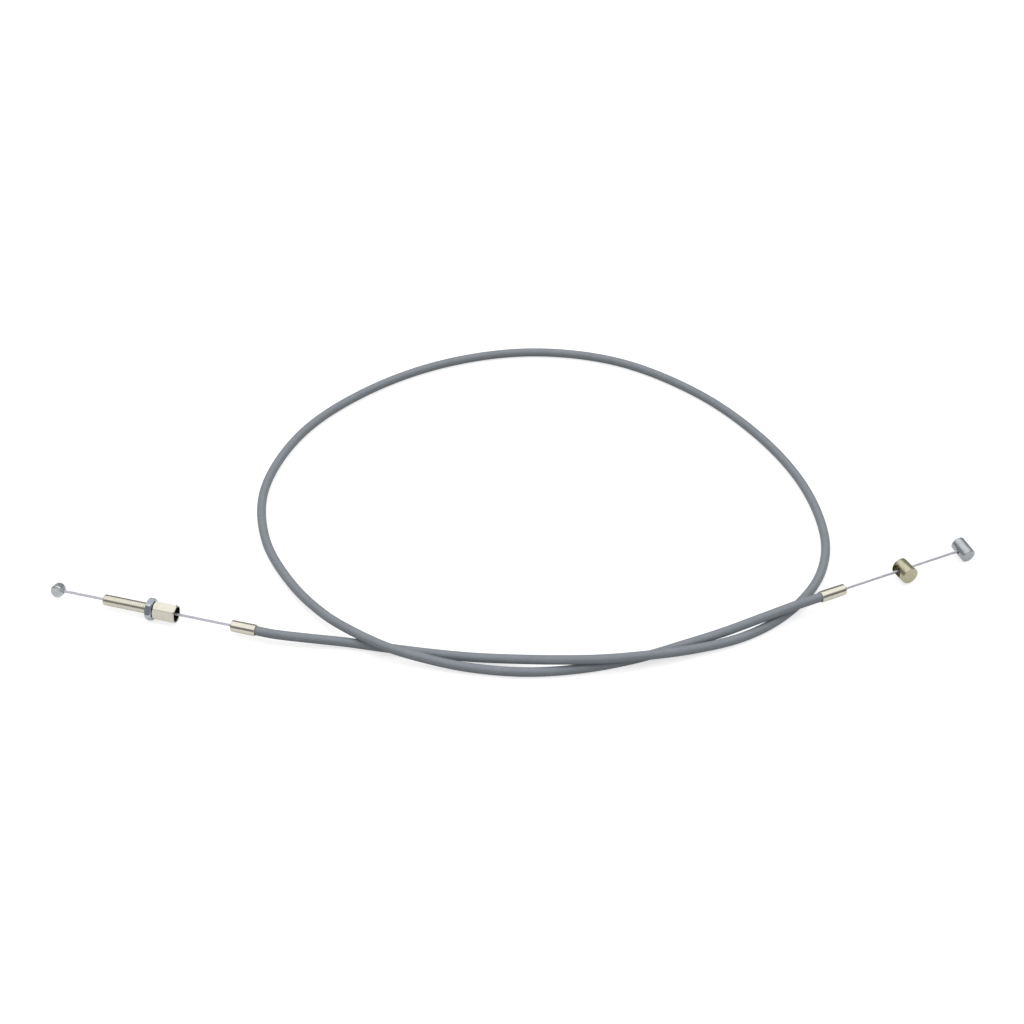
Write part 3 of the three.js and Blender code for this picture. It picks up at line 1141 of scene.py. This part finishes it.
@dataclass
class CrossBarrel:
    """A barrel across the wire, with holes for the wire and what it seats.

    Attributes:
        name: the piece's name.
        place: the end's straight stretch.
        body: the body that it rides on.
        node: the solid that it replaces.
        finish: its finish.
        slot: the record's slot.
        reach: how far out its middle lies.
        diameter: its diameter.
        length: its length.
        edge: how far each end is rounded over.
        holes: its holes.
        roll: its roll about the wire, in degrees.
        offset: how much nearer the holes lie to its left end than its middle does.
    """

    name: str
    place: Place
    body: Body
    node: str
    finish: Metal
    slot: Slot
    reach: float
    diameter: float
    length: float
    edge: float
    holes: tuple[Hole, ...]
    roll: float = 0.0
    offset: float = 0.0

    def build(self) -> bpy.types.Object:
        """Makes the barrel by turning its profile and cutting the holes out of it."""
        grid = spin(self.profile(), around(96), Axis.ACROSS_WIRE.value) - [0, self.offset, 0]
        c, s = math.cos(math.radians(self.roll)), math.sin(math.radians(self.roll))
        rolled = grid @ np.array([[1, 0, 0], [0, c, s], [0, -s, c]]) + [self.reach, 0, 0]
        barrel = capped_solid(self.name, self.place.row(rolled), BARREL_SHARP)
        carve(barrel, [self.cutter(hole) for hole in self.holes])
        mark_spun(barrel, self.place, self.reach, self.roll, Axis.ACROSS_WIRE)
        dress(barrel, self.finish, self.slot, self.body, self.node)
        return barrel

    def profile(self) -> np.ndarray:
        """Half the barrel's outline, from the middle of one end to the middle of the other."""
        half, radius = self.length / 2, self.diameter / 2
        t = np.linspace(0, 1, 7)[:, None]
        before, corner, after = (
            np.array(point)
            for point in ((-half, radius - self.edge), (-half, radius), (self.edge - half, radius))
        )
        edge = bend(before, corner, after, t)
        face = np.array([[-half, radius * 0.1], [-half, radius * 0.5]])
        near = np.vstack([face, edge])
        return np.vstack([near, near[::-1] * [-1, 1]])

    def cutter(self, hole: Hole) -> bpy.types.Object:
        """A rod along the wire that cuts one hole, with a cone for its flare.

        The cone's slope is 45 degrees, and it has the hole's own radius at one flare's depth
        below the barrel's surface.
        """
        radius = hole.bore / 2
        surface = -math.sqrt((self.diameter / 2) ** 2 - radius**2)
        corners = [(-self.diameter, radius), (hole.end, radius)]
        if hole.flare:
            corners = [
                (surface - 1, radius + hole.flare + 1),
                (surface + hole.flare, radius),
                (hole.end, radius),
            ]
        grid = spin(np.array(corners), around(64), Axis.ALONG_WIRE.value) + [self.reach, 0, 0]
        return capped_solid(self.name + "_cutter", self.place.row(grid), 30)


# ---- the studio


@dataclass(frozen=True)
class Studio:
    """The floor, the light and the camera.

    Attributes:
        aim: the point that the middle of the view looks at, in mm.
        distance: how far away the camera stands, in mm.
        elevation: how high it stands, in degrees.
        lens: its lens in mm on a 36 mm sensor.
        sky: the strength of the world's light.
        low_sky: the share of it that comes from the sky's lower half.
        lamp_power: the lamp's power, in watts.
        lamp_size: the lamp's diameter, in m.
        lamp_place: where the lamp hangs, in m.
        lamp_turn: how far it is turned about X and Y from straight down, in degrees.
        flag_radius: the distance of the grey band that shiny pieces show, in mm.
        flag_height: the height of the band's upper edge, in mm.
        flag_glow: how bright the band is.
    """

    aim: tuple[float, float, float] = (-2.9, 71.2, 0.0)
    distance: float = 1318.9
    elevation: float = 38.5
    lens: float = 82.62
    sky: float = 1.1
    low_sky: float = 0.42
    lamp_power: float = 5.0
    lamp_size: float = 1.2
    lamp_place: tuple[float, float, float] = (-0.3, 0.55, 2.0)
    lamp_turn: tuple[float, float] = (-14.0, -8.0)
    flag_radius: float = 2600.0
    flag_height: float = 2030.0
    flag_glow: float = 0.2

    def place_camera(self) -> None:
        """Puts the camera at the photograph's angle."""
        camera = bpy.data.objects.new("camera", bpy.data.cameras.new("camera"))
        bpy.context.scene.collection.objects.link(camera)
        rise = math.radians(self.elevation)
        back = np.array([0, -math.cos(rise), math.sin(rise)]) * self.distance
        camera.location = (np.asarray(self.aim) + back) * MM
        camera.rotation_euler = (math.pi / 2 - rise, 0, 0)
        camera.data.lens = self.lens
        camera.data.sensor_width = 36
        camera.data.clip_start = 0.01
        camera.data.clip_end = 50
        bpy.context.scene.camera = camera
        bpy.context.scene.view_settings.view_transform = "Standard"

    def light_up(self) -> None:
        """Sets the world, which is brightest overhead, and one soft lamp.

        The camera itself sees the world white.
        """
        world = bpy.data.worlds.new("studio")
        world.use_nodes = True
        graph = Graph(world.node_tree)
        direction = graph.add("ShaderNodeTexCoord").outputs["Generated"]
        height = graph.add("ShaderNodeSeparateXYZ", {0: direction}).outputs[2]
        ramp = graph.add("ShaderNodeValToRGB", {0: height})
        for stop, share, level in zip(ramp.color_ramp.elements, (self.low_sky, 1), (0.45, 0.75)):
            stop.color = (share, share, share, 1)
            stop.position = level
        seen = graph.add("ShaderNodeLightPath").outputs["Is Camera Ray"]
        tint = graph.mix(seen, ramp.outputs[0], (1, 1, 1, 1))
        sky = graph.add("ShaderNodeBackground", {"Color": tint, "Strength": self.sky})
        graph.add("ShaderNodeOutputWorld", {"Surface": sky.outputs[0]})
        bpy.context.scene.world = world
        lamp = bpy.data.objects.new("soft_lamp", bpy.data.lights.new("soft_lamp", "AREA"))
        bpy.context.scene.collection.objects.link(lamp)
        lamp.data.shape = "DISK"
        lamp.data.size = self.lamp_size
        lamp.data.energy = self.lamp_power
        lamp.visible_glossy = False
        lamp.location = self.lamp_place
        lamp.rotation_euler = (*np.radians(self.lamp_turn), 0)

    def lay_floor(self) -> None:
        """Lays the pale floor, which keeps a faint shadow.

        It is a soft grey to diffuse light, paler to reflections and white to the camera.
        """
        floor = self.stage_plane("floor", 8.0)
        material, graph = new_material("studio_floor")
        ray = graph.add("ShaderNodeLightPath").outputs
        shiny = graph.math("MAXIMUM", ray["Is Glossy Ray"], ray["Is Transmission Ray"])
        shown = graph.add("ShaderNodeBsdfDiffuse", {"Color": (0.22, 0.22, 0.22, 1)})
        for seen, pale, glow in ((shiny, 0.5, 0.3), (ray["Is Camera Ray"], 0.6, 0.65)):
            paint = graph.add("ShaderNodeBsdfDiffuse", {"Color": (pale, pale, pale, 1)})
            light = graph.add("ShaderNodeEmission", {"Color": (1, 1, 1, 1), "Strength": glow})
            lit = graph.add("ShaderNodeAddShader", {0: paint.outputs[0], 1: light.outputs[0]})
            pair = {0: seen, 1: shown.outputs[0], 2: lit.outputs[0]}
            shown = graph.add("ShaderNodeMixShader", pair)
        graph.add("ShaderNodeOutputMaterial", {"Surface": shown.outputs[0]})
        floor.data.materials.append(material)

    def hang_flag(self) -> None:
        """Stands a grey band round the stage, which only shiny pieces show, as a dark line."""
        angle = around(64)
        edge = np.array([(0.0, self.flag_radius), (self.flag_height, self.flag_radius)])
        ring = spin(edge, angle, (2, 0, 1))
        faces = ring_faces(2, len(angle), False)
        band = new_object("dark_band", ring.reshape(-1, 3), faces.tolist(), 60)
        material, graph = new_material("dark_cloth")
        cloth = graph.add("ShaderNodeEmission", {"Color": (1, 1, 1, 1), "Strength": self.flag_glow})
        graph.add("ShaderNodeOutputMaterial", {"Surface": cloth.outputs[0]})
        band.data.materials.append(material)
        band.visible_camera = False
        band.visible_diffuse = False
        band.visible_shadow = False
        band.visible_transmission = False

    @staticmethod
    def stage_plane(name: str, size: float) -> bpy.types.Object:
        """A flat square on the floor's level that isn't part of the cable."""
        half = size / 2 / MM
        corners = np.array([(-half, -half, 0), (half, -half, 0), (half, half, 0), (-half, half, 0)])
        plane = new_object(name, corners, [(0, 1, 2, 3)], 60)
        return plane


def main() -> None:
    """Builds the camera, the cable's pieces from the sheath outwards, and the studio."""
    logging.basicConfig(level=logging.INFO, format="%(name)s: %(message)s")
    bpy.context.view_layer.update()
    studio = Studio()
    studio.place_camera()

    left = Place((-150.1, -31.6, 5.5), 163.2, 0.0)
    right = Place((174.45, -4.04, 7.1), 27.36, -1.43)
    sheath = Sheath(left, right)
    sheath.build()
    sheath.dress_inner_parts()

    small = CrossBarrel(
        "small_barrel_nipple", left, Body.LEFT_WIRE, "nipple_left", LIT_PALE_ZINC, Slot.CAST,
        reach=99.8, diameter=7.0, length=5.8, edge=1.1, holes=(Hole(1.4, 2.2, 0.35),), roll=16.0,
    )
    large = CrossBarrel(
        "large_barrel_nipple", right, Body.RIGHT_WIRE, "nipple_right", CAST_ZINC, Slot.CAST,
        reach=78.0, diameter=8.2, length=11.4, edge=0.7, holes=(Hole(1.64, 2.2, 0.3),), roll=9.0,
    )
    WireEnd("left_strand", left, Body.LEFT_WIRE, "inner_wire_left", 100.9).build(small.build())
    WireEnd("right_strand", right, Body.RIGHT_WIRE, "inner_wire_right", 79.34).build(large.build())

    Ferrule("left_ferrule_cup", left, "ferrule_left", 13.6).build()
    Ferrule("right_ferrule_cup", right, "ferrule_right", 15.0).build()
    AdjustingScrew(left).build()
    LockNut(left).build()
    CrossBarrel(
        "swivel_barrel", right, Body.PIVOT_BARREL, "pivot_barrel", OLIVE_NICKEL, Slot.NICKEL,
        reach=38.55, diameter=9.7, length=10.4, edge=0.4, offset=1.3,
        holes=(Hole(0.65, 6.9), Hole(8.0, 2.2)),
    ).build()

    studio.light_up()
    studio.lay_floor()
    studio.hang_flag()


if __name__ == "__main__":
    main()
